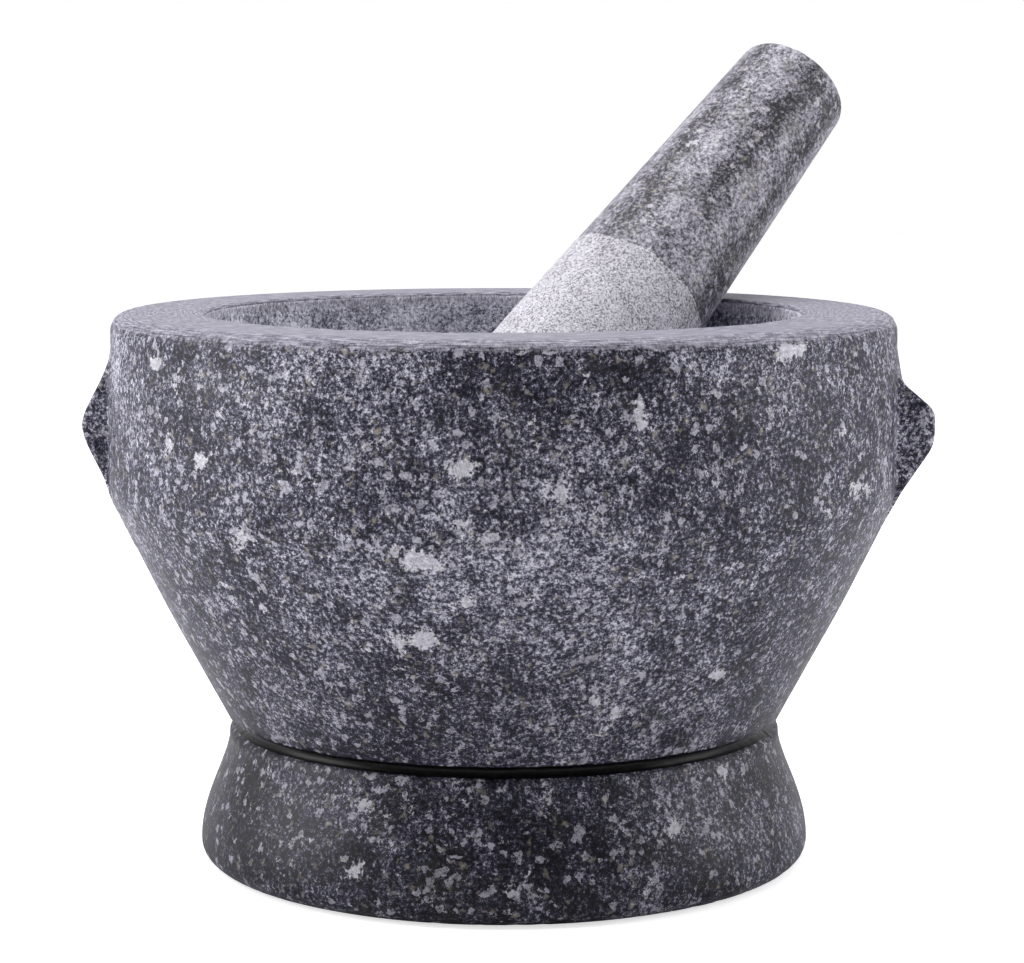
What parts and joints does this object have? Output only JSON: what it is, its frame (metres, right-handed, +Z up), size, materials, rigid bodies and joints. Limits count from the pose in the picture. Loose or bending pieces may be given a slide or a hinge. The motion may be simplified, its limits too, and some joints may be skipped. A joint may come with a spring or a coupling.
{
  "type": "mortar and pestle",
  "caption": "Turned granite mortar with a flared foot, a polished groove and side lugs, and a tapered granite pestle leaning in its round bowl.",
  "frame": {"origin": "centre of the mortar's flat base, on the axis that the bowl and foot are turned about", "axes": "+Z up along the mortar's axis, X through the two lugs, the pestle leaning towards +X and +Y"},
  "size_m": [0.2129, 0.2024, 0.21],
  "materials": {
    "turned_granite": "satin dark grey granite, salt and pepper grain with pale feldspar spots",
    "honed_granite": "honed mid grey granite with dark streaks along its length, rough pale head"
  },
  "bodies": {
    "mortar": {"mortar": "turned_granite"},
    "pestle": {"pestle": "honed_granite"}
  },
  "joints": [
    {"name": "pestle_lift", "type": "slide", "parent": "mortar", "child": "pestle", "axis": [0, 0, 1], "range_m": [0, 0.15]}
  ]
}
